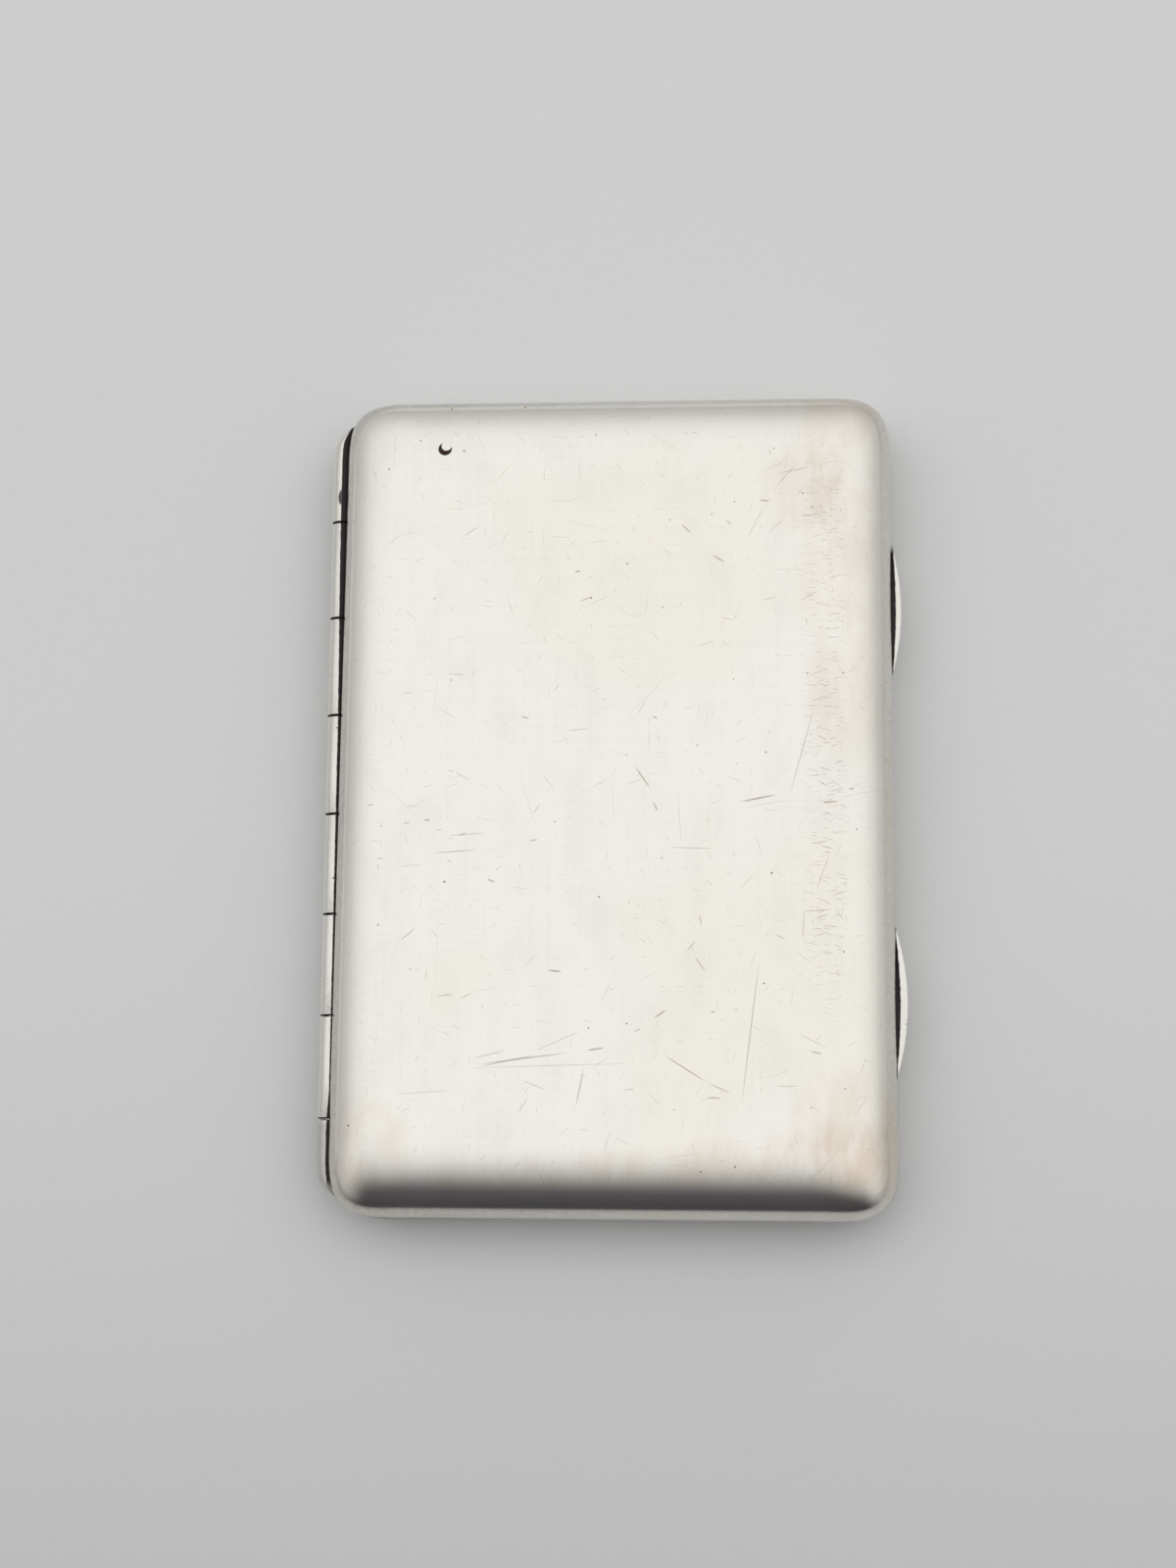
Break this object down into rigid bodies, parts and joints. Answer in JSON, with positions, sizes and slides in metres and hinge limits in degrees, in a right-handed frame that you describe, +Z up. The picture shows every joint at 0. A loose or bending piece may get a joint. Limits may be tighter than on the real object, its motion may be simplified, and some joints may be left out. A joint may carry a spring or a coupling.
{
  "type": "cigarette case",
  "caption": "Slim hinged pocket case: two shallow rolled-edge metal trays on a knuckle hinge, crescent thumb-pieces, an inner closing rim and an elastic retaining strap",
  "frame": {"origin": "centre of the lower shell's flat underside, on the table", "axes": "+Y along the hinge to the far end, +X from the hinge side to the thumb-piece side, +Z up through the lid"},
  "size_m": [0.0596, 0.085, 0.01],
  "materials": {
    "silver": "polished silver worn to a soft satin, with fine scratches",
    "gilt": "gold wash over silver",
    "nickel": "drawn nickel-silver wire",
    "elastic": "woven elastic webbing"
  },
  "bodies": {
    "base": {"lower_shell": "silver", "lower_joint_bearer": "gilt", "lower_knuckle_1": "silver", "lower_knuckle_2": "silver", "lower_knuckle_3": "silver", "hinge_end_far": "silver", "hinge_end_near": "silver", "hinge_pin": "nickel", "thumb_piece_far": "silver", "thumb_piece_near": "silver", "closing_bezel": "gilt", "snap_wire": "gilt", "strap_keeper_hinge_side": "gilt", "strap_keeper_thumb_side": "gilt", "retaining_strap": "elastic"},
    "lid": {"upper_shell": "silver", "upper_joint_bearer": "gilt", "upper_knuckle_1": "silver", "upper_knuckle_2": "silver", "upper_knuckle_3": "silver"}
  },
  "joints": [
    {"name": "lid_hinge", "type": "hinge", "parent": "base", "child": "lid", "pos_m": [-0.02886, 0, 0.005], "axis": [0, -1, 0], "range_deg": [0, 180]}
  ]
}
